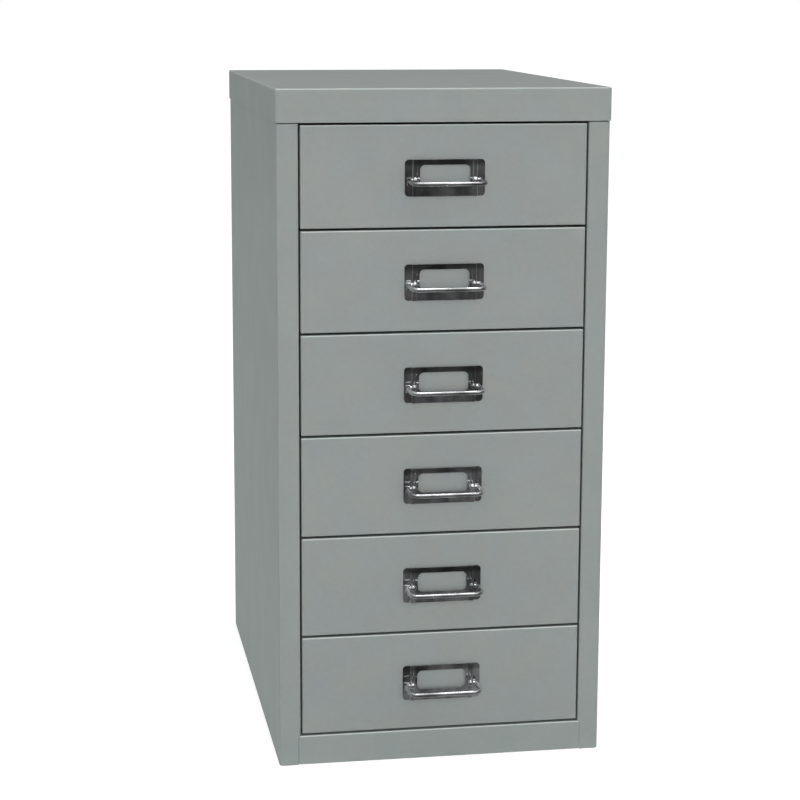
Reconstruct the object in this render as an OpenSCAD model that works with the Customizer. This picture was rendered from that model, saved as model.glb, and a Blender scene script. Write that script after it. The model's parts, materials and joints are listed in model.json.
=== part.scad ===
// Small steel drawer cabinet for paper: a folded sheet shell, a stack of equal drawers
// on channel runners, and a chromed card-holder pull with a wire bail on each drawer.
// Millimetres. X to the right, Y to the back, Z up.
// The origin is on the floor, under the middle of the shell.

/* [Shell] */
// Width over the two side panels
case_w = 277; // [240:1:400]
// Depth of the shell from the front posts to the back
case_d = 408; // [360:1:600]
// Thickness of the folded sheet steel
sheet_t = 0.9; // [0.7:0.1:1.2]
// Inside radius of the folds
fold_r = 0.7; // [0.5:0.1:1.2]
// Width of the face of each front post
post_w = 17.9; // [16:0.1:30]
// Depth of the return behind each front post
post_return = 14; // [10:1:15]
// Width of the flange that each side panel folds round the back
back_flange = 12; // [8:1:20]
// Width of the flanges that lie under the lid
top_flange = 10; // [6:1:14]
// Seam between welded sheets
weld = 0.1; // [0.05:0.05:0.3]

/* [Lid] */
// Height of the lid's skirt
lid_skirt = 27.5; // [20:0.5:40]
// How far the lid stands proud of the shell all round
lid_proud = 1; // [1:0.1:2]
// Radius of the lid's upright corners
lid_corner_r = 2.2; // [1.5:0.1:5]
// Outside radius of the fold round the lid's top
lid_edge_r = 1.6; // [1:0.1:2.5]
// Radius of the lower corners of the skirt's front and back
skirt_corner_r = 2.4; // [1:0.1:5]
// Visible seam between the skirt and the tops of the posts
lid_seam = 0.8; // [0.3:0.1:1.5]

/* [Base] */
// Height of the bottom rail
rail_h = 25.6; // [20:0.2:60]
// How far the bottom rail laps over each post
rail_lap = 1.6; // [0.5:0.1:4]
// Radius of the bottom rail's upper corners
rail_corner_r = 2.6; // [0.5:0.1:4]
// Depth of the bottom rail's flanges
rail_flange = 14; // [8:1:14]
// Visible seam between the bottom rail and the posts
rail_seam = 0.3; // [0.1:0.05:0.5]
// Radius of the outer lower corner of each post
foot_r = 2.6; // [0.5:0.1:4]
// Height of the base pan's turned-up edges
base_lip = 15; // [8:1:25]

/* [Drawers] */
// Number of drawers
drawer_count = 6; // [2:1:8]
// Height of each drawer front
front_h = 84; // [70:0.1:140]
// Gap above and below each drawer front
drawer_gap = 1.9; // [1:0.1:3]
// Gap between a drawer front and each post
side_gap = 1.4; // [1:0.1:3]
// Depth of the hollow drawer front
front_depth = 14; // [10:1:20]
// Outside radius of the fold round a drawer front
front_edge_r = 1.5; // [1:0.1:2]
// Radius of a drawer front's corners
front_corner_r = 1; // [0.95:0.05:3]
// Width of the lip behind a drawer front
front_lip = 16; // [14.5:0.5:20]
// Height of a drawer's tray
tray_h = 68; // [50:1:69]
// Height of the tray's bottom above the bottom of the drawer front
tray_lift = 4; // [2:0.5:12]
// Radius of a tray's upright corners
tray_corner_r = 3; // [1.5:0.1:8]
// Space between a closed tray and the back panel
tray_back_gap = 28; // [10:1:60]
// Distance that a drawer slides out
drawer_travel = 290; // [150:5:300]

/* [Runners] */
// Width of the tray's flange that slides in a runner
slide_flange = 9.5; // [7:0.5:14]
// Free height inside a channel runner
runner_slot = 3; // [2.6:0.1:5]
// Clearance under a sliding flange
run_clear = 0.3; // [0.2:0.05:0.5]
// Clearance beside a sliding flange and a runner's lips
run_side = 0.6; // [0.4:0.1:1.5]
// Clearance of the drawer stops, shut and fully open
stop_clear = 0.3; // [0.1:0.05:1]
// Length of each stop along the runner
stop_len = 2.5; // [1.5:0.5:6]
// Height of a stop tab above its sliding flange
stop_tab = 1.3; // [1:0.1:1.5]
// Width of the crown of each hat-section upright
upright_crown = 18; // [12:1:30]
// Width of each welded flange of an upright
upright_flange = 8; // [6:1:14]
// Distance from the post's return to the front upright
upright_front = 2; // [1:1:20]
// Distance from the back panel to the rear upright
upright_back = 22; // [14:1:60]
// Width of the hooks that hold a runner in its uprights
hook_w = 8; // [5:1:12]
// Height of a hook's neck
hook_neck = 3; // [2:0.5:4]
// How far a hook drops behind its upright
hook_drop = 4; // [2:0.5:6]

/* [Card holder] */
// Width of the card holder's plate
plate_w = 66.5; // [60:0.5:90]
// Height of the card holder's plate
plate_h = 30; // [26:0.5:50]
// How far the plate's middle lies below the middle of the drawer front
plate_drop = 1.5; // [-6:0.5:8]
// Thickness of the plate
plate_t = 0.8; // [0.6:0.1:1]
// Radius of the plate's corners
plate_r = 3; // [1:0.5:6]
// Width of the card window
window_w = 42; // [30:0.5:46]
// Height of the card window
window_h = 16.5; // [10:0.5:20]
// Radius of the window's corners
window_r = 4.2; // [1:0.1:5]
// Height of the window's middle above the plate's middle
window_rise = 2.5; // [0:0.1:3]
// Depth of the card pocket behind the plate
card_gap = 1.3; // [0.5:0.1:1.5]
// Distance of each pressed rib from the middle
rib_x = 25; // [24.5:0.5:28]
// Width of a rib
rib_w = 5.6; // [4:0.1:5.8]
// How far a rib stands out of the drawer front
rib_out = 2.9; // [2.9:0.1:3.5]
// Wall of the domed ear round the bail's pivot
ear_wall = 1; // [0.6:0.1:1.5]
// Distance of each clench tab from the middle
tab_x = 30; // [29:0.5:32]
// Height of a clench tab
tab_h = 6; // [4:0.5:10]
// Length of the clenched end of a tab
tab_clench = 4; // [2:0.5:6]
// Clearance of a tab in its slot
tab_clear = 0.2; // [0.1:0.05:0.4]

/* [Bail] */
// Diameter of the bail's wire
wire_d = 3.7; // [2.8:0.1:3.8]
// Distance from the bail's pivot to its bar
bail_reach = 21.5; // [15:0.5:30]
// Half the width of the bail, to the middle of its wire
bail_x = 30.4; // [29.8:0.1:32]
// Bend radius at the bail's pivots, to the middle of the wire
bail_root_r = 2.1; // [2:0.1:2.4]
// Bend radius at the ends of the bar, to the middle of the wire
bail_tip_r = 7.5; // [3:0.1:8]
// Angle at which the resting bail slopes down
bail_droop = 3; // [0:1:30]
// Height of the pivot above the plate's middle
pivot_rise = -2; // [-6:0.5:4]
// Length of the heel that stops the bail
heel_len = 3.8; // [3:0.1:5]
// Running clearance of the wire in its ears
pivot_clear = 0.05; // [0.02:0.01:0.1]
// Clearance between the bail's heels and the plate
heel_clear = 0.3; // [0.2:0.05:0.5]

/* [Hidden] */
$fn = 48;

paint = [0.573, 0.592, 0.584];
zinc = [0.72, 0.74, 0.75];
chrome = [0.85, 0.86, 0.87];

eps = 0.01;                 // how far a cut runs past a face
fold_mid = fold_r + sheet_t / 2;

// The shell's planes
half_w = case_w / 2;
front_y = -case_d / 2;
back_y = case_d / 2;
post_x = half_w - post_w;
drawer_pitch = front_h + drawer_gap;
skirt_z = rail_h + drawer_gap + drawer_count * drawer_pitch;
top_z = skirt_z + lid_skirt;
wall_h = top_z - sheet_t;
back_face = back_y - 2 * sheet_t;
rail_half = post_x + rail_lap;

// The drawers; drawer 1 is at the top
front_w = 2 * (post_x - side_gap);
slide_x = post_x - sheet_t - fold_r - run_side;
tray_w = 2 * (slide_x - slide_flange);
tray_y = front_y + front_depth;
tray_d = back_face - tray_back_gap - tray_y;
slide_z = tray_lift + tray_h - sheet_t;

// The runners, measured from the bottom of the drawer front
runner_y = tray_y + stop_clear;
runner_end = back_face - upright_back;
runner_low = slide_z - run_clear;
runner_high = runner_low + runner_slot;
tab_y = tray_y + tray_d - tray_corner_r - stop_len;
stop_y = tab_y - drawer_travel - stop_clear - stop_len;
front_upright_y = front_y + post_return + upright_front + upright_flange + upright_crown / 2;
rear_upright_y = back_face - upright_back - upright_flange - upright_crown / 2;

// The pull, measured from the middle of the drawer front
plate_z = -plate_drop;
window_z = plate_z + window_rise;
pivot_z = plate_z + pivot_rise;
pivot_out = plate_t + heel_clear + wire_d / 2;
ear_r = wire_d / 2 + pivot_clear + ear_wall;
wire_end_x = rib_x - wire_d / 2 + tab_clear;

function drawer_z(i) = skirt_z - i * drawer_pitch;
function heading(a, b) = (b - a) / norm(b - a);
function turn(p, i) =
    let (u = heading(p[i - 1], p[i]), v = heading(p[i], p[i + 1]))
    atan2(u[0] * v[1] - u[1] * v[0], u * v);
function bend_r(r, i) = is_list(r) ? r[i - 1] : r;
function setback(p, r, i) =
    (i == 0 || i == len(p) - 1) ? 0 : bend_r(r, i) * tan(abs(turn(p, i)) / 2);

// Sweeps a symmetric 2D section along a path in the XY plane, with round bends of radius r
module sweep(p, r) {
    for (i = [0 : len(p) - 2]) {
        u = heading(p[i], p[i + 1]);
        start = p[i] + u * setback(p, r, i);
        run = norm(p[i + 1] - p[i]) - setback(p, r, i) - setback(p, r, i + 1);
        translate([start[0], start[1], 0])
            rotate([0, 0, atan2(u[1], u[0])])
                rotate([90, 0, 90])
                    linear_extrude(run) children();
    }
    for (i = [1 : len(p) - 2]) {
        u = heading(p[i - 1], p[i]);
        angle = turn(p, i);
        side = sign(angle);
        left = [-u[1], u[0]];
        centre = p[i] - u * setback(p, r, i) + left * side * bend_r(r, i);
        first = atan2(-side * left[1], -side * left[0]);
        translate([centre[0], centre[1], 0])
            rotate([0, 0, min(first, first + angle)])
                rotate_extrude(angle = abs(angle))
                    translate([bend_r(r, i), 0]) children();
    }
}

// A folded sheet: its section follows a path and its width runs along Z
module folded(p, width) {
    sweep(p, fold_mid) square([sheet_t, width], center = true);
}

// Turns a section drawn in XY so that it stands in XZ, or in YZ
module stand_xz() rotate([90, 0, 0]) children();
module stand_yz() rotate([90, 0, 90]) children();

module rounded_rect(w, h, r) {
    square([w - 2 * r, h], center = true);
    square([w, h - 2 * r], center = true);
    for (x = [-1, 1], y = [-1, 1])
        translate([x * (w / 2 - r), y * (h / 2 - r)]) circle(r);
}

// A rectangle that stands on the X axis, with its lower corners rounded
module round_bottomed(w, h, r) {
    translate([-w / 2, r]) square([w, h - r]);
    translate([r - w / 2, 0]) square([w - 2 * r, h]);
    for (x = [-1, 1]) translate([x * (w / 2 - r), r]) circle(r);
}

// An open pan, folded up from one sheet; its outside stands on z = 0
module pan(w, d, h, corner_r, edge_r) {
    difference() {
        intersection() {
            linear_extrude(h) rounded_rect(w, d, corner_r);
            translate([0, d / 2, 0]) stand_xz() linear_extrude(d) round_bottomed(w, h, edge_r);
            translate([-w / 2, 0, 0]) stand_yz() linear_extrude(w) round_bottomed(d, h, edge_r);
        }
        translate([0, 0, sheet_t])
            linear_extrude(h)
                rounded_rect(w - 2 * sheet_t, d - 2 * sheet_t, max(corner_r - sheet_t, eps));
    }
}

// What is cut off a plate's square corner at the origin to leave it round;
// the plate lies in XZ, towards +X and +Z, and the cut is centred on y = 0
module corner_cut(r, depth) {
    stand_xz() linear_extrude(depth, center = true) difference() {
        translate([-eps, -eps]) square(r + eps);
        translate([r, r]) circle(r);
    }
}

module lid() {
    lid_w = case_w + 2 * lid_proud;
    lid_d = case_d + 2 * lid_proud;
    color(paint) difference() {
        translate([0, 0, top_z]) mirror([0, 0, 1])
            pan(lid_w, lid_d, lid_skirt, lid_corner_r, lid_edge_r);
        for (m = [0, 1], y = [-1, 1])
            mirror([m, 0, 0])
                translate([-lid_w / 2, y * (lid_d / 2 - sheet_t / 2), skirt_z])
                    corner_cut(skirt_corner_r, sheet_t + 2 * eps);
    }
}

// The right side panel, with its post and flanges
module side_panel() {
    wall = half_w - sheet_t / 2;
    post = post_x + sheet_t / 2;
    face = front_y + sheet_t / 2;
    section = [
        [post, front_y + post_return],
        [post, face],
        [wall, face],
        [wall, back_y - sheet_t / 2],
        [half_w - back_flange, back_y - sheet_t / 2]
    ];
    flange_y = front_y + post_return + upright_front;
    color(paint) difference() {
        union() {
            translate([0, 0, wall_h / 2]) folded(section, wall_h);
            translate([half_w - top_flange, flange_y, wall_h - sheet_t])
                cube([top_flange - sheet_t / 2, back_face - top_flange - weld - flange_y, sheet_t]);
        }
        difference() {
            translate([0, front_y - eps, -eps])
                cube([rail_half + rail_seam, post_return + 2 * eps, rail_h + rail_seam + eps]);
            translate([rail_half + rail_seam, front_y, rail_h + rail_seam])
                mirror([1, 0, 0]) mirror([0, 0, 1])
                    corner_cut(rail_corner_r + rail_seam, 4 * post_return);
        }
        translate([post_x - eps, front_y - eps, skirt_z - lid_seam])
            cube([post_w + 2 * eps, sheet_t + fold_r + eps, top_z]);
        translate([post_x - eps, front_y, skirt_z - lid_seam])
            cube([post_w - sheet_t - fold_r + eps, post_return + eps, top_z]);
        translate([half_w, front_y, 0]) mirror([1, 0, 0])
            corner_cut(foot_r, 2 * (sheet_t + fold_r));
    }
}

module back_panel() {
    y = back_y - 1.5 * sheet_t;
    section = [[y - top_flange, wall_h - sheet_t / 2], [y, wall_h - sheet_t / 2], [y, 0]];
    color(paint) stand_yz() folded(section, case_w - 2 * (sheet_t + fold_r + weld));
}

module base_pan() {
    side = half_w - 1.5 * sheet_t - weld;
    rear = back_face - sheet_t / 2 - weld;
    fore = front_y + rail_flange + weld;
    edge_y = front_y + post_return + upright_front;
    color(paint) {
        stand_xz() translate([0, 0, -(edge_y + rear - fold_mid) / 2])
            folded([[-side, base_lip], [-side, sheet_t / 2], [side, sheet_t / 2], [side, base_lip]],
                rear - fold_mid - edge_y);
        stand_yz()
            folded([[fore, sheet_t / 2], [rear, sheet_t / 2], [rear, base_lip]], 2 * (side - fold_mid));
    }
}

module bottom_rail() {
    face = front_y + sheet_t / 2;
    section = [
        [front_y + rail_flange, sheet_t / 2],
        [face, sheet_t / 2],
        [face, rail_h - sheet_t / 2],
        [front_y + rail_flange, rail_h - sheet_t / 2]
    ];
    color(paint) difference() {
        stand_yz() folded(section, 2 * rail_half);
        for (m = [0, 1]) mirror([m, 0, 0])
            translate([-rail_half, front_y, rail_h]) mirror([0, 0, 1])
                corner_cut(rail_corner_r, 4 * rail_flange);
    }
}

// A hat-section upright on the right; its middle is at y
module upright(y) {
    crown = post_x + sheet_t / 2;
    foot = half_w - 1.5 * sheet_t;
    near = upright_crown / 2;
    far = near + upright_flange;
    low = base_lip + weld;
    high = wall_h - sheet_t - weld;
    section = [[foot, -far], [foot, -near], [crown, -near], [crown, near], [foot, near], [foot, far]];
    color(zinc) translate([0, y, 0]) difference() {
        translate([0, 0, (low + high) / 2]) folded(section, high - low);
        for (i = [1 : drawer_count])
            translate([post_x - eps, -hook_w / 2 - tab_clear, hook_z(i)])
                cube([sheet_t + 2 * eps, hook_w + 2 * tab_clear, hook_neck + hook_drop + tab_clear]);
    }
}

// The height of the underside of a runner's hook necks
function hook_z(i) = drawer_z(i) + (runner_low + runner_high - hook_neck) / 2;

// A channel runner on the right, with its stop and its two hooks
module runner(i) {
    web = post_x - sheet_t / 2;
    lip = tray_w / 2 + run_side;
    low = drawer_z(i) + runner_low - sheet_t / 2;
    high = drawer_z(i) + runner_high + sheet_t / 2;
    lug_h = runner_slot - run_clear - sheet_t - stop_clear;
    lug_w = slide_x - lip - fold_r;
    color(zinc) {
        translate([0, (runner_y + runner_end) / 2, 0]) stand_xz()
            folded([[lip, high], [web, high], [web, low], [lip, low]], runner_end - runner_y);
        translate([lip, stop_y, drawer_z(i) + runner_high - lug_h])
            cube([lug_w, stop_len, lug_h + eps]);
        for (y = [front_upright_y, rear_upright_y])
            translate([post_x, y - hook_w / 2, hook_z(i)]) {
                translate([-eps, 0, 0]) cube([2 * sheet_t + eps, hook_w, hook_neck]);
                translate([sheet_t, 0, -hook_drop]) cube([sheet_t, hook_w, hook_drop + hook_neck]);
            }
    }
}

module drawer_front(i) {
    color(paint) translate([0, front_y, drawer_z(i) + front_h / 2]) difference() {
        rotate([-90, 0, 0]) {
            pan(front_w, front_h, front_depth, front_corner_r, front_edge_r);
            translate([0, 0, front_depth - sheet_t]) linear_extrude(sheet_t) difference() {
                rounded_rect(front_w, front_h, front_corner_r);
                square([front_w - 2 * front_lip, front_h - 2 * front_lip], center = true);
            }
        }
        for (x = [-1, 1])
            translate([x * tab_x, sheet_t / 2, plate_z])
                cube([plate_t + 2 * tab_clear, 2 * sheet_t, tab_h + 2 * tab_clear], center = true);
    }
}

module drawer_tray(i) {
    color(paint) translate([0, tray_y, drawer_z(i) + tray_lift]) {
        translate([0, tray_d / 2, 0])
            pan(tray_w, tray_d, tray_h, tray_corner_r, fold_r + sheet_t);
        for (m = [0, 1]) mirror([m, 0, 0]) {
            translate([tray_w / 2 - sheet_t / 2, tray_corner_r, tray_h - sheet_t])
                cube([slide_flange + sheet_t / 2, tray_d - 2 * tray_corner_r, sheet_t]);
            translate([tray_w / 2 + run_side, tab_y - tray_y, tray_h - eps])
                cube([slide_flange - run_side - fold_r, stop_len, stop_tab + eps]);
        }
    }
}

// The card holder: two flat wings on the drawer front, a pocket that holds the card
// between two pressed ribs, and a domed ear on each rib for the bail
module card_holder(i) {
    middle_w = 2 * rib_x;
    middle_out = card_gap + plate_t;
    color(chrome) translate([0, front_y, drawer_z(i) + front_h / 2]) difference() {
        union() {
            translate([0, 0, plate_z]) stand_xz() linear_extrude(plate_t) difference() {
                rounded_rect(plate_w, plate_h, plate_r);
                square([middle_w, plate_h + 2 * eps], center = true);
            }
            translate([0, -card_gap, plate_z]) stand_xz()
                linear_extrude(plate_t) square([middle_w, plate_h], center = true);
            translate([-rib_x, -middle_out, plate_z - plate_h / 2])
                cube([middle_w, middle_out, plate_t]);
            for (x = [-rib_x, rib_x]) translate([x, 0, 0]) {
                rib_crest = rib_out - rib_w / 2;
                intersection() {
                    translate([0, -rib_crest, plate_z])
                        cylinder(h = plate_h, d = rib_w, center = true);
                    translate([-rib_w / 2, -rib_out, plate_z - plate_h / 2])
                        cube([rib_w, rib_out, plate_h]);
                }
                translate([-rib_w / 2, -rib_crest, plate_z - plate_h / 2])
                    cube([rib_w, rib_crest, plate_h]);
                translate([0, -pivot_out, pivot_z]) sphere(ear_r);
            }
            for (m = [0, 1]) mirror([m, 0, 0])
                translate([tab_x - plate_t / 2, 0, plate_z - tab_h / 2]) {
                    translate([0, -plate_t / 2, 0])
                        cube([plate_t, plate_t / 2 + sheet_t + plate_t, tab_h]);
                    translate([-tab_clench, sheet_t, 0])
                        cube([tab_clench + plate_t, plate_t, tab_h]);
                }
        }
        translate([0, eps, window_z]) stand_xz()
            linear_extrude(middle_out + 2 * eps) rounded_rect(window_w, window_h, window_r);
        for (m = [0, 1]) mirror([m, 0, 0])
            translate([wire_end_x - tab_clear, -pivot_out, pivot_z]) rotate([0, 90, 0])
                cylinder(h = wire_d / 2 + ear_r + eps, d = wire_d + 2 * pivot_clear);
    }
}

// The wire bail: one bent wire whose ends turn in the ears and whose heels bear on the wings
module bail(i) {
    wire = [
        [-wire_end_x, 0],
        [-bail_x, 0],
        [-bail_x, -bail_reach],
        [bail_x, -bail_reach],
        [bail_x, 0],
        [wire_end_x, 0]
    ];
    bends = [bail_root_r, bail_tip_r, bail_tip_r, bail_root_r];
    color(chrome) translate([0, front_y - pivot_out, drawer_z(i) + front_h / 2 + pivot_z]) {
        rotate([bail_droop, 0, 0]) {
            sweep(wire, bends) circle(d = wire_d);
            // A ball inside the wire at each end of a bend makes it one piece with its neighbour
            for (k = [1 : len(wire) - 2], next = [wire[k - 1], wire[k + 1]])
                translate(wire[k] + heading(wire[k], next) * setback(wire, bends, k))
                    sphere(d = wire_d / 2);
        }
        for (x = [-bail_x, bail_x])
            translate([x, 0, -heel_len]) cylinder(h = heel_len, d = wire_d);
    }
}

lid();
mirror([1, 0, 0]) side_panel();  // left_side_panel
side_panel();  // right_side_panel
back_panel();
base_pan();
bottom_rail();
mirror([1, 0, 0]) upright(front_upright_y);  // left_front_upright
mirror([1, 0, 0]) upright(rear_upright_y);  // left_rear_upright
upright(front_upright_y);  // right_front_upright
upright(rear_upright_y);  // right_rear_upright
for (i = [1 : drawer_count]) {
    mirror([1, 0, 0]) runner(i);
    runner(i);
    drawer_front(i);
    drawer_tray(i);
    card_holder(i);
    bail(i);
}
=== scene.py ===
"""Looks for the small steel drawer cabinet: camera, studio, and materials on the CAD's own pieces.

Metres, in the CAD's frame: X to the right, Y to the back, Z up, the origin on the floor.
"""
import json
import math

import bpy
from mathutils import Matrix, Vector

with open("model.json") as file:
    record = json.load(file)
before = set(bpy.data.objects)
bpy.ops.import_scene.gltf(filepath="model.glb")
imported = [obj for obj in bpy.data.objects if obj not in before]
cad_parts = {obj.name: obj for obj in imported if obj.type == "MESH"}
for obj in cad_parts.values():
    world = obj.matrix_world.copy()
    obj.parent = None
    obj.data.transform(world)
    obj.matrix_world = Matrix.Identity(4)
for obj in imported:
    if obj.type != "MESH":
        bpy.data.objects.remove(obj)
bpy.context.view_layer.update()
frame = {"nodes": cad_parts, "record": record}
scene = bpy.context.scene
scene.view_settings.view_transform = "Standard"

# ---------------------------------------------------------------- camera
# Lens and sensor in millimetres, shift in frame widths, angles in degrees: yaw turns the
# camera from +Y towards +X, pitch tips it down, and roll lifts its right side.
CAMERA = {
    "sensor": 36,
    "lens": 92.345,
    "shift": (0.01645, -0.06),
    "clip": (0.05, 200),
    "place": (-0.32208, -1.8498, 0.64483),
    "yaw": 9.4652,
    "pitch": 9.8842,
    "roll": 0.1625,
}


def make_camera(c):
    data = bpy.data.cameras.new("camera")
    data.sensor_width = c["sensor"]
    data.lens = c["lens"]
    data.shift_x, data.shift_y = c["shift"]
    data.clip_start, data.clip_end = c["clip"]
    camera = bpy.data.objects.new("camera", data)
    scene.collection.objects.link(camera)
    yaw, pitch, roll = (math.radians(c[k]) for k in ("yaw", "pitch", "roll"))
    ahead = Vector((math.sin(yaw) * math.cos(pitch), math.cos(yaw) * math.cos(pitch),
                    -math.sin(pitch)))
    right = Vector((math.cos(yaw), -math.sin(yaw), 0))
    up = right.cross(ahead)
    turned_right = right * math.cos(roll) + up * math.sin(roll)
    turned_up = up * math.cos(roll) - right * math.sin(roll)
    axes = Matrix((turned_right, turned_up, -ahead)).transposed()
    camera.matrix_world = Matrix.Translation(c["place"]) @ axes.to_4x4()
    scene.camera = camera


# ---------------------------------------------------------------- node helpers
WHITE = (1, 1, 1)
MIX_FACTOR, MIX_A, MIX_B, MIX_RESULT = 0, 6, 7, 2    # the Mix node's sockets for colours


def rgba(colour):
    """A plain colour with the alpha that sockets want; another node's socket as it is."""
    return colour if isinstance(colour, bpy.types.NodeSocket) else (*colour, 1)


def scaled(colour, factors):
    return tuple(c * k for c, k in zip(colour, factors))


class Graph:
    """A short way to write a node tree.

    An input is a plain value, another node's socket, or a node, for its first output.
    """

    def __init__(self, tree):
        self.tree = tree
        tree.nodes.clear()

    def add(self, kind, inputs=None, **settings):
        node = self.tree.nodes.new(kind)
        for name, value in settings.items():
            setattr(node, name, value)
        for socket, value in (inputs or {}).items():
            if isinstance(value, bpy.types.Node):
                value = value.outputs[0]
            if isinstance(value, bpy.types.NodeSocket):
                self.tree.links.new(value, node.inputs[socket])
            else:
                node.inputs[socket].default_value = value
        return node

    def coordinate(self, kind):
        return self.add("ShaderNodeTexCoord").outputs[kind]

    def axes(self, vector):
        """The X, Y and Z of a vector, by name."""
        return self.add("ShaderNodeSeparateXYZ", {0: vector}).outputs

    def vector(self, operation, a, b=(0, 0, 0)):
        return self.add("ShaderNodeVectorMath", {0: a, 1: b}, operation=operation).outputs[0]

    def math(self, operation, first, *others):
        """One operation over two or more values, from the left."""
        for other in others:
            node = self.add("ShaderNodeMath", {0: first, 1: other}, operation=operation)
            first = node.outputs[0]
        return first

    def noise(self, where, scale, detail, rough, squash=None):
        """Noise about 0.5, in cycles per metre; squash multiplies them along each axis."""
        if squash:
            where = self.vector("MULTIPLY", where, squash)
        inputs = {"Vector": where, "Scale": scale, "Detail": detail, "Roughness": rough}
        return self.add("ShaderNodeTexNoise", inputs).outputs["Fac"]

    def span(self, value, low, high, to_low, to_high):
        """Takes low..high to to_low..to_high, and holds what lies beyond."""
        inputs = {"Value": value, "From Min": low, "From Max": high,
                  "To Min": to_low, "To Max": to_high}
        return self.add("ShaderNodeMapRange", inputs, clamp=True).outputs["Result"]

    def vary(self, noise, to_low, to_high, reach=0.2):
        """Takes the middle of a noise, reach to each side of 0.5, to to_low..to_high."""
        return self.span(noise, 0.5 - reach, 0.5 + reach, to_low, to_high)

    def mix(self, kind, factor, a, b):
        node = self.add("ShaderNodeMix", {MIX_FACTOR: factor, MIX_A: rgba(a), MIX_B: rgba(b)},
                        data_type="RGBA", blend_type=kind)
        return node.outputs[MIX_RESULT]

    def tint(self, colour, factor):
        """A colour times a grey factor."""
        return self.mix("MULTIPLY", 1.0, colour, factor)

    def blend(self, factor, a, b):
        """From colour a to colour b."""
        return self.mix("MIX", factor, a, b)

    def bump(self, height, strength, depth):
        inputs = {"Height": height, "Strength": strength, "Distance": depth}
        return self.add("ShaderNodeBump", inputs)

    def emission(self, strength, colour):
        return self.add("ShaderNodeEmission", {"Strength": strength, "Color": rgba(colour)})

    def background_rays(self):
        """1 for the rays that show a background: the camera's, off gloss and through glass."""
        path = self.add("ShaderNodeLightPath").outputs
        return self.math("MAXIMUM", path["Is Camera Ray"], path["Is Glossy Ray"],
                         path["Is Transmission Ray"])


def new_material(name):
    material = bpy.data.materials.new(name)
    material.use_nodes = True
    return material, Graph(material.node_tree)


def finish_surface(g, shader):
    g.add("ShaderNodeOutputMaterial", {"Surface": shader})


# ---------------------------------------------------------------- materials
SHELL = (0.280, 0.309, 0.300)
DRAWER = (0.280, 0.306, 0.298)
CHROME = (0.62, 0.63, 0.64)
ZINC = (0.52, 0.54, 0.55)

# The factors between which a colour drifts.
PAINT_COOL, PAINT_WARM = (0.975, 1.0, 1.01), (1.02, 1.0, 0.985)
ZINC_DARK, ZINC_WARM = (0.94, 0.94, 0.94), (1.06, 1.04, 0.98)

MOTTLE = 0.02             # the share by which the paint's level varies
FOLD_GLINT = 0.08          # painted highlight that every fold gets, whichever way it faces
SIDE_SHARE = 0.1          # share of the painted highlight on a fold that faces a side

# Where something starts and where it is full.
FOLDED = (0.98, 0.85)     # by the largest part of the unit normal, which is 1 on a flat face
FACES_UP = (0.1, 0.6)     # by the normal's Z
FACES_SIDE = (0.2, 0.6)   # by the normal's X, to either side
TOP_EDGE = (0.80, 0.90)   # by height, as a share of the piece's own; where the chrome's painted darker reflection starts and is full
LOW_GLINT_HEIGHT = (0.15, 0.05)    # by height above the floor, where the painted fold highlight grows stronger


def fold_highlight(g, where, glint, low_glint):
    """A painted highlight on the folds: a little on all, more on those that face up, as if lit
    from above.
    """
    facing = g.vector("NORMALIZE", g.coordinate("Normal"))
    turned = g.axes(g.vector("ABSOLUTE", facing))
    fold = g.span(g.math("MAXIMUM", turned["X"], turned["Y"], turned["Z"]), *FOLDED, 0, 1)
    upward = g.span(g.axes(facing)["Z"], *FACES_UP, 0, 1)
    sideways = g.span(turned["X"], *FACES_SIDE, 1, SIDE_SHARE)
    low = g.span(g.axes(where)["Z"], *LOW_GLINT_HEIGHT, 1, low_glint)
    # Painted highlight: folds that face up are made paler, standing in for an overhead lamp's
    # glint.
    lit_from_above = g.math("MULTIPLY", upward, sideways, low, glint)
    return g.math("MULTIPLY", fold, g.math("ADD", lit_from_above, FOLD_GLINT))


def powder_coat(name, colour, glint=0.36, low_glint=1.0, seed=0.0):
    """Satin powder coat: faintly cloudy, with fine orange peel and a painted highlight on the
    folds.

    glint is how strong the painted highlight is on folds that face up, low_glint times as much
    near the floor, and seed moves the pattern.
    """
    material, g = new_material(name)
    where = g.coordinate("Object")
    moved = g.vector("ADD", where, (seed, seed * 0.7, seed * 1.3))
    cloud = g.noise(moved, scale=22, detail=3, rough=0.55)
    speck = g.noise(moved, scale=260, detail=2, rough=0.6)
    grain = g.noise(moved, scale=950, detail=1, rough=0.5)
    hue = g.vary(g.noise(moved, scale=45, detail=2, rough=0.5), 0, 1, reach=0.15)
    paint = g.blend(hue, scaled(colour, PAINT_COOL), scaled(colour, PAINT_WARM))
    level = g.math("ADD", g.vary(cloud, 1 - MOTTLE, 1 + MOTTLE), g.vary(speck, -MOTTLE, MOTTLE))
    # The folds' base colour is lifted here: a painted highlight, not a lighter paint.
    level = g.math("MULTIPLY", level, g.math("ADD", fold_highlight(g, where, glint, low_glint), 1))
    peel = g.math("ADD", g.math("MULTIPLY", grain, 0.6), g.math("MULTIPLY", speck, 0.4))
    finish_surface(g, g.add("ShaderNodeBsdfPrincipled", {
        "Base Color": g.tint(paint, level),
        "Roughness": g.vary(cloud, 0.36, 0.42),
        "Normal": g.bump(peel, strength=0.10, depth=0.0004),
        "Metallic": 0.0,
        "IOR": 1.5,
    }))
    return material


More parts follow.
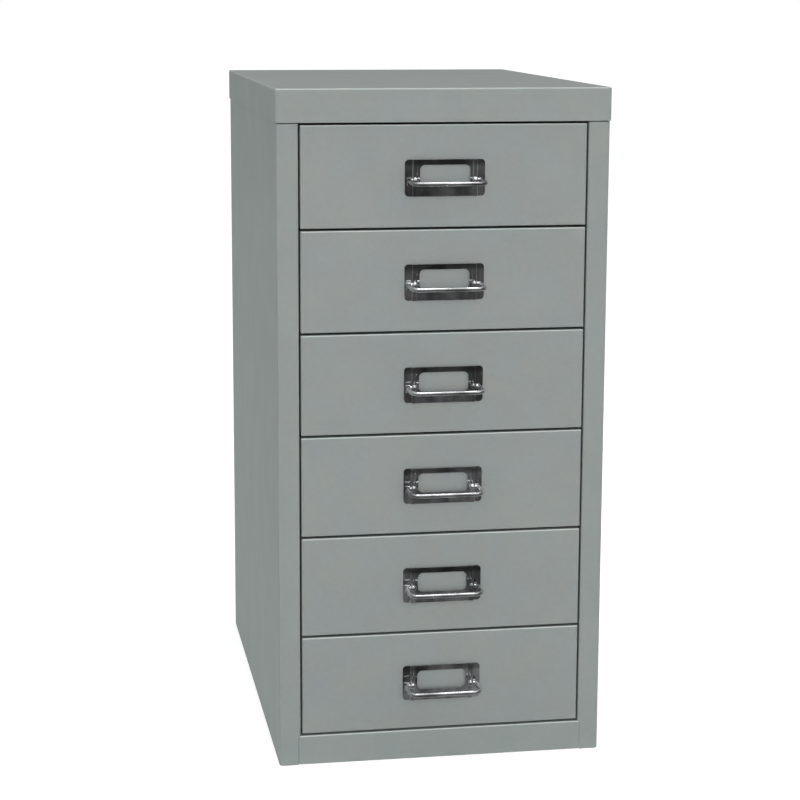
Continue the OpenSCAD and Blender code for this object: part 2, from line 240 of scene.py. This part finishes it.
def chrome(name, colour, rough, wave, seed, tarnish, dark_top_reflection=0.0):
    """Bright chrome plate on pressed steel, with slow waves and fine hairlines.

    tarnish is how much darker its patches are, dark_top_reflection how much darker its top edge is
    painted, a painted darker reflection, and seed moves the pattern.
    """
    material, g = new_material(name)
    moved = g.vector("ADD", g.coordinate("Object"), (seed, seed, seed))
    slow = g.noise(moved, scale=90, detail=2, rough=0.5)
    hair = g.noise(moved, scale=700, detail=2, rough=0.6, squash=(1.0, 1.0, 0.15))
    patch = g.noise(moved, scale=1, detail=2, rough=0.55, squash=(42, 1, 26))
    height = g.axes(g.coordinate("Generated"))["Z"]
    # A painted darker reflection: the colour falls off towards the top edge of the piece.
    top = g.span(height, *TOP_EDGE, 1, 1 - dark_top_reflection)
    level = g.math("MULTIPLY", g.vary(slow, 0.94, 1.04), top,
                   g.vary(patch, 1 - tarnish, 1 + tarnish / 2, reach=0.12))
    finish_surface(g, g.add("ShaderNodeBsdfPrincipled", {
        "Base Color": g.tint(colour, level),
        "Roughness": g.vary(hair, rough * 0.75, rough * 1.35),
        "Normal": g.bump(slow, strength=wave, depth=0.002),
        "Metallic": 1.0,
    }))
    return material


def zinc(name, colour):
    """Zinc-plated runner steel: drawn lines along the length and a cloudy passivate."""
    material, g = new_material(name)
    where = g.coordinate("Object")
    drawn = g.noise(where, scale=900, detail=3, rough=0.6, squash=(1.0, 0.03, 1.0))
    cloud = g.vary(g.noise(where, scale=35, detail=3, rough=0.6), 0, 1, reach=0.15)
    plate = g.blend(cloud, scaled(colour, ZINC_DARK), scaled(colour, ZINC_WARM))
    finish_surface(g, g.add("ShaderNodeBsdfPrincipled", {
        "Base Color": g.tint(plate, g.vary(drawn, 0.92, 1.06)),
        "Roughness": g.vary(drawn, 0.30, 0.42),
        "Normal": g.bump(drawn, strength=0.12, depth=0.0002),
        "Metallic": 1.0,
    }))
    return material


MATERIALS = {
    # The first numbers set the painted highlight on folds: strongest on drawer fronts and on the
    # shell near the floor.
    "shell_paint": powder_coat("shell_paint", SHELL, glint=0.38, low_glint=2.8),
    "drawer_paint": powder_coat("drawer_paint", DRAWER, glint=1.1, seed=0.37),
    "tray_paint": powder_coat("tray_paint", DRAWER, seed=0.81),
    # The card holders get a painted darker reflection along their top edge.
    "holder_chrome": chrome("holder_chrome", CHROME, rough=0.06, wave=0.05, seed=0.9,
                            tarnish=0.55, dark_top_reflection=0.55),
    "bail_chrome": chrome("bail_chrome", CHROME, rough=0.08, wave=0.004, seed=0.5, tarnish=0.45),
    "runner_steel": zinc("runner_steel", ZINC),
}

for part in frame["record"]["subparts"]:
    piece = frame["nodes"][part["node"]]
    piece.data.materials.clear()
    piece.data.materials.append(MATERIALS[part["material_slot"]])

# ---------------------------------------------------------------- studio
# A level or radiance is what a mirror would show of a thing: 1 is white.
WORLD_LEVEL = 0.57        # of the world's light; where the world is seen, it is white
FLOOR_GLOW = 0.55         # added to the lamps' light on the floor, where that is seen
FLOOR_GREY = (0.9, 0.9, 0.9)
FLOOR_REACH = 60
GREENISH = (0.90, 1.0, 0.97)
CLOUD_SIZE = (20, 6, 20)  # cycles per metre, of the noise on an uneven card

# The dark cards line a square hall, HALL from its middle to each wall. Its floor is split
# just before the cabinet.
HALL = 5.0
SPLIT = -0.3
FRONT_LEFT, FRONT_RIGHT = (-HALL, -HALL), (HALL, -HALL)
BACK_LEFT, BACK_MIDDLE, BACK_RIGHT = (-HALL, HALL), (0, HALL), (HALL, HALL)


def area_lamp(name, place, aim, size, radiance):
    """A white softbox, as bright as its radiance says at any size."""
    data = bpy.data.lights.new(name, "AREA")
    data.shape = "RECTANGLE"
    data.size, data.size_y = size
    data.energy = radiance * math.pi * size[0] * size[1]
    lamp = bpy.data.objects.new(name, data)
    scene.collection.objects.link(lamp)
    lamp.location = place
    lamp.rotation_mode = "QUATERNION"
    lamp.rotation_quaternion = (Vector(aim) - Vector(place)).to_track_quat("-Z", "Y")
    return lamp


def card(name, corners, material):
    """A flat piece of the stage."""
    mesh = bpy.data.meshes.new(name)
    mesh.from_pydata(corners, [], [(0, 1, 2, 3)])
    mesh.materials.append(material)
    piece = bpy.data.objects.new(name, mesh)
    scene.collection.objects.link(piece)
    return piece


def make_world():
    world = bpy.data.worlds.new("studio")
    world.use_nodes = True
    g = Graph(world.node_tree)
    strength = g.span(g.background_rays(), 0, 1, WORLD_LEVEL, 1)
    sky = g.add("ShaderNodeBackground", {"Strength": strength, "Color": rgba(WHITE)})
    g.add("ShaderNodeOutputWorld", {"Surface": sky})
    scene.world = world


def make_floor():
    """A pale floor: white to the camera save for the shadow, and no floor from below."""
    material, g = new_material("floor")
    plain = g.add("ShaderNodeBsdfDiffuse", {"Color": rgba(FLOOR_GREY)})
    light = g.emission(g.math("MULTIPLY", g.background_rays(), FLOOR_GLOW), WHITE)
    both = g.add("ShaderNodeAddShader", {0: plain, 1: light})
    below = g.add("ShaderNodeNewGeometry").outputs["Backfacing"]
    clear = g.add("ShaderNodeBsdfTransparent")
    finish_surface(g, g.add("ShaderNodeMixShader", {0: below, 1: both, 2: clear}))
    r = FLOOR_REACH
    card("floor", [(-r, -r, 0), (r, -r, 0), (r, r, 0), (-r, r, 0)], material)


def dark_card(name, corners, level, tint=WHITE, fade=None, cloud=0.0):
    """A dark card out of the camera's sight, which only polished metal and gloss show.

    fade, as (near Y, far Y, far level), runs its level along Y, and cloud is the share by
    which noise makes it uneven. An even card has the same nodes, because Cycles samples a
    card as a lamp by whether its strength is linked.
    """
    near, far, far_level = fade or (-1, 1, level)
    material, g = new_material(name)
    where = g.coordinate("Object")
    faded = g.span(g.axes(where)["Y"], near, far, level, far_level)
    patches = g.noise(where, scale=1, detail=3, rough=0.6, squash=CLOUD_SIZE)
    uneven = g.vary(patches, 1 - cloud, 1 + cloud, reach=0.15)
    finish_surface(g, g.emission(g.math("MULTIPLY", faded, uneven), tint))
    piece = card(name, corners, material)
    piece.visible_camera = piece.visible_diffuse = False
    piece.visible_shadow = piece.visible_transmission = False


def dark_floor(name, front, back, height, level, **looks):
    """A dark card over the floor; its front and back edges are given as (half width, Y)."""
    (w0, y0), (w1, y1) = front, back
    corners = [(-w0, y0, height), (w0, y0, height), (w1, y1, height), (-w1, y1, height)]
    dark_card(name, corners, level, **looks)


def dark_wall(name, start, end, height, level, **looks):
    """A dark card that stands on the floor from start to end."""
    (x0, y0), (x1, y1) = start, end
    corners = [(x0, y0, 0), (x1, y1, 0), (x1, y1, height), (x0, y0, height)]
    dark_card(name, corners, level, **looks)


make_camera(CAMERA)
make_world()
make_floor()
dark_floor("dark_front_floor", front=(HALL, -HALL), back=(HALL, SPLIT), height=0.002,
           level=0.148, fade=(-0.35, -2.2, 0.082), cloud=0.8)
dark_floor("dark_back_floor", front=(HALL, SPLIT), back=(HALL, HALL), height=0.002, level=0.15)
# Paler floor, which widens from beside the cabinet's front to the back wall.
dark_floor("grey_back_floor", front=(0.27, -0.215), back=(2.4, HALL), height=0.003,
           level=0.60, tint=GREENISH)
dark_wall("dark_front_wall", FRONT_LEFT, FRONT_RIGHT, height=2.0, level=0.078, cloud=0.8)
dark_wall("dark_left_wall", FRONT_LEFT, BACK_LEFT, height=5.0, level=0.30, tint=GREENISH)
dark_wall("dark_right_wall", FRONT_RIGHT, BACK_RIGHT, height=5.0, level=0.14)
dark_wall("dark_back_wall_left", BACK_LEFT, BACK_MIDDLE, height=3.5, level=0.46, tint=GREENISH)
dark_wall("dark_back_wall_right", BACK_MIDDLE, BACK_RIGHT, height=3.5, level=0.20)
area_lamp("overhead", place=(0.0, -0.3, 2.4), aim=(0, -0.2, 0.4), size=(1.1, 0.32),
          radiance=10.2)
front_box = area_lamp("front_box", place=(0.15, -3.4, 1.0), aim=(0, 0, 0.22), size=(2.0, 2.0),
                      radiance=3.52)
front_box.visible_glossy = False
